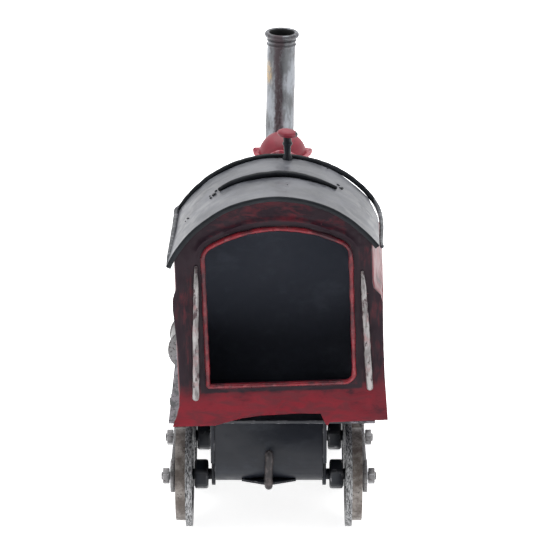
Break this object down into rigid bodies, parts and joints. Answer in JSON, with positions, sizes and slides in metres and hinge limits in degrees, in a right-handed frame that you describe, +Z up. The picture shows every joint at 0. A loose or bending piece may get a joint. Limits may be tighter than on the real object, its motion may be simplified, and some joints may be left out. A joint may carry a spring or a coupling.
{
  "type": "toy train locomotive",
  "caption": "Sheet-metal toy steam locomotive: open-backed red cab, arched roof, boiler with dome and tall chimney, spoked driving wheels linked by side rods.",
  "frame": {"origin": "bottom centre of the bounding box, where the wheels stand", "axes": "+Z up, +Y towards the front of the engine, +X towards its right side"},
  "size_m": [0.0862, 0.1944, 0.1645],
  "materials": {
    "red_paint": "satin dark red paint over sheet metal, antiqued with a dark wash",
    "dome_red_paint": "satin red paint",
    "black_paint": "satin blue-black paint",
    "bare_steel": "bare steel, heat-stained and worn",
    "wheel_metal": "speckled dark metal with a rusty brown tread"
  },
  "bodies": {
    "chassis": {"frame_plate_left": "black_paint", "frame_plate_right": "black_paint", "frame_spacers": "black_paint", "ashpan": "black_paint", "drawbar_tab": "black_paint", "rear_hook": "black_paint", "running_board": "black_paint", "front_beam": "red_paint", "cowcatcher_foot": "black_paint", "cowcatcher_bars": "black_paint", "cylinder_left": "bare_steel", "cylinder_right": "bare_steel", "smokebox_saddle": "black_paint", "firebox": "black_paint", "boiler": "black_paint", "boiler_bands": "bare_steel", "smokebox": "black_paint", "smokebox_door": "black_paint", "door_latch": "bare_steel", "steam_dome": "dome_red_paint", "dome_brim": "dome_red_paint", "chimney": "bare_steel", "cab_rear_wall": "red_paint", "doorway_bead": "red_paint", "cab_side_left": "red_paint", "cab_side_right": "red_paint", "cab_front_wall": "black_paint", "handrail_left": "bare_steel", "handrail_right": "bare_steel", "roof": "black_paint", "roof_rib": "black_paint", "roof_rim_wire": "black_paint", "whistle_post": "black_paint", "whistle_cap": "dome_red_paint"},
    "wheelset_rear": {"axle_rear": "black_paint", "wheel_rear_left": "wheel_metal", "wheel_rear_right": "wheel_metal", "collars_rear": "black_paint", "crank_pins_rear": "bare_steel", "crank_nuts_rear": "bare_steel"},
    "wheelset_middle": {"axle_middle": "black_paint", "wheel_middle_left": "wheel_metal", "wheel_middle_right": "wheel_metal", "collars_middle": "black_paint", "crank_pins_middle": "bare_steel", "crank_nuts_middle": "bare_steel"},
    "wheelset_front": {"axle_front": "black_paint", "wheel_front_left": "wheel_metal", "wheel_front_right": "wheel_metal", "collars_front": "black_paint", "crank_pins_front": "bare_steel", "crank_nuts_front": "bare_steel"},
    "wheelset_leading": {"axle_leading": "black_paint", "wheel_leading_left": "wheel_metal", "wheel_leading_right": "wheel_metal", "collars_leading": "black_paint"},
    "rod_left": {"side_rod_left": "black_paint"},
    "rod_right": {"side_rod_right": "black_paint"}
  },
  "joints": [
    {"name": "rear_axle_spin", "type": "hinge", "parent": "chassis", "child": "wheelset_rear", "pos_m": [0, -0.0757, 0.0198], "axis": [1, 0, 0], "continuous": true},
    {"name": "middle_axle_spin", "type": "hinge", "parent": "chassis", "child": "wheelset_middle", "pos_m": [0, -0.0337, 0.0198], "axis": [1, 0, 0], "continuous": true},
    {"name": "front_axle_spin", "type": "hinge", "parent": "chassis", "child": "wheelset_front", "pos_m": [0, 0.0083, 0.0198], "axis": [1, 0, 0], "continuous": true},
    {"name": "leading_axle_spin", "type": "hinge", "parent": "chassis", "child": "wheelset_leading", "pos_m": [0, 0.0513, 0.011], "axis": [1, 0, 0], "continuous": true},
    {"name": "left_rod_pivot", "type": "hinge", "parent": "wheelset_rear", "child": "rod_left", "pos_m": [-0.0362, -0.08246, 0.02161], "axis": [1, 0, 0], "continuous": true},
    {"name": "right_rod_pivot", "type": "hinge", "parent": "wheelset_rear", "child": "rod_right", "pos_m": [0.0362, -0.08246, 0.02161], "axis": [1, 0, 0], "continuous": true}
  ],
  "couplings": [
    {"joint": "middle_axle_spin", "follows": "rear_axle_spin", "ratio": 1},
    {"joint": "front_axle_spin", "follows": "rear_axle_spin", "ratio": 1},
    {"joint": "left_rod_pivot", "follows": "rear_axle_spin", "ratio": -1},
    {"joint": "right_rod_pivot", "follows": "rear_axle_spin", "ratio": -1}
  ]
}
